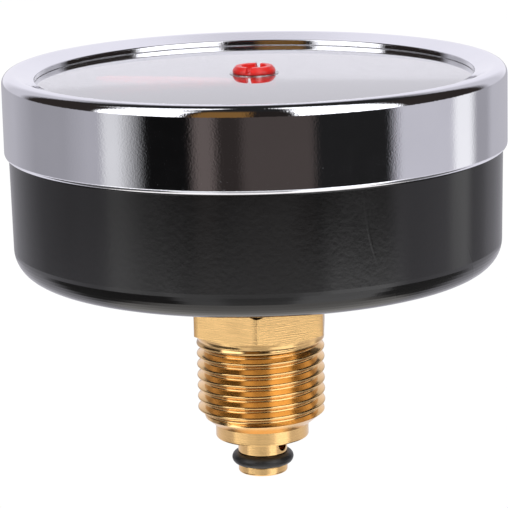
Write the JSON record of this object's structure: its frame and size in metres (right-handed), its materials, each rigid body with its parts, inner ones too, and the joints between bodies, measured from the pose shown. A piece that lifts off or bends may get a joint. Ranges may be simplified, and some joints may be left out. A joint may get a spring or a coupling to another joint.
{
  "type": "pressure gauge",
  "caption": "Round dial pressure gauge with chromed bezel, black case and red setting knob, on a brass shut-off valve with a threaded shank below a hexagon and a sealed plunger.",
  "frame": {"origin": "on the axis, in the shoulder plane under the valve's hexagon, where the process thread starts", "axes": "+Z along the axis, from the thread up through the dial; +Y towards twelve o'clock on the dial; +X to its right"},
  "size_m": [0.0808, 0.0808, 0.0677],
  "materials": {
    "valve_brass": "turned and milled, bright",
    "movement_brass": "stamped and turned, satin",
    "spring_bronze": "drawn phosphor bronze, satin",
    "spring_steel": "drawn wire",
    "screw_steel": "machined, bright",
    "bezel_chrome": "polished, faintly grained",
    "case_plastic": "semi-gloss black moulding",
    "window_clear": "clear moulded plastic, polished",
    "dial_white": "matt white paint, printed in black",
    "pointer_black": "satin black paint",
    "setting_red": "moulded red plastic",
    "black_rubber": "satin black",
    "seal_fibre": "pressed fibre, matt"
  },
  "bodies": {
    "valve": {"valve_body": "valve_brass", "stem_washer": "seal_fibre", "return_spring": "spring_steel"},
    "plunger": {"valve_plunger": "valve_brass", "plunger_o_ring": "black_rubber"},
    "gauge": {"socket": "valve_brass", "case_gasket": "seal_fibre", "flange_screws": "screw_steel", "case": "case_plastic", "bezel": "bezel_chrome", "window": "window_clear", "window_gasket": "black_rubber", "dial": "dial_white", "dial_posts": "movement_brass", "dial_screws": "screw_steel", "stop_pin": "movement_brass", "movement_back_plate": "movement_brass", "movement_front_plate": "movement_brass", "movement_pillars": "movement_brass", "movement_base_screws": "screw_steel", "front_plate_screws": "screw_steel", "hairspring": "spring_bronze", "hairspring_post": "movement_brass", "bourdon_tube": "spring_bronze"},
    "tube_tip": {"tube_end_piece": "movement_brass", "tip_pin": "screw_steel"},
    "sector": {"sector_gear": "movement_brass", "sector_arbor": "screw_steel", "tail_pin": "screw_steel"},
    "link": {"link": "movement_brass"},
    "pointer": {"pinion": "movement_brass", "hairspring_collet": "movement_brass", "pointer": "pointer_black", "pointer_hub": "pointer_black"},
    "setting": {"setting_hub": "setting_red", "setting_hand": "setting_red"}
  },
  "joints": [
    {"name": "gauge_unscrew", "type": "slide", "parent": "valve", "child": "gauge", "axis": [0, 0, 1], "range_m": [0, 0.00275]},
    {"name": "plunger_close", "type": "slide", "parent": "valve", "child": "plunger", "axis": [0, 0, 1], "range_m": [0, 0.00275], "deforming": ["return_spring"]},
    {"name": "sector_swing", "type": "hinge", "parent": "gauge", "child": "sector", "pos_m": [0, -0.0155, 0.0245], "axis": [0, 0, 1], "range_deg": [0, 40], "stiffness_Nm_per_rad": 0.0001},
    {"name": "pointer_turn", "type": "hinge", "parent": "gauge", "child": "pointer", "pos_m": [0, 0, 0.0354], "axis": [0, 0, 1], "range_deg": [-270, 0]},
    {"name": "link_swing", "type": "hinge", "parent": "sector", "child": "link", "pos_m": [0.00095, -0.02142, 0.0254], "axis": [0, 0, 1], "range_deg": [-40, 0]},
    {"name": "tip_travel", "type": "slide", "parent": "gauge", "child": "tube_tip", "axis": [0.8738, 0.4863, 0], "range_m": [0, 0.00411]},
    {"name": "setting_turn", "type": "hinge", "parent": "gauge", "child": "setting", "pos_m": [0, 0, 0.043], "axis": [0, 0, 1], "continuous": true}
  ],
  "couplings": [
    {"joint": "plunger_close", "follows": "gauge_unscrew", "ratio": 1},
    {"joint": "pointer_turn", "follows": "sector_swing", "ratio": -6.75},
    {"joint": "link_swing", "follows": "sector_swing", "ratio": -1},
    {"joint": "tip_travel", "follows": "sector_swing", "m_per_rad": 0.0058789}
  ]
}
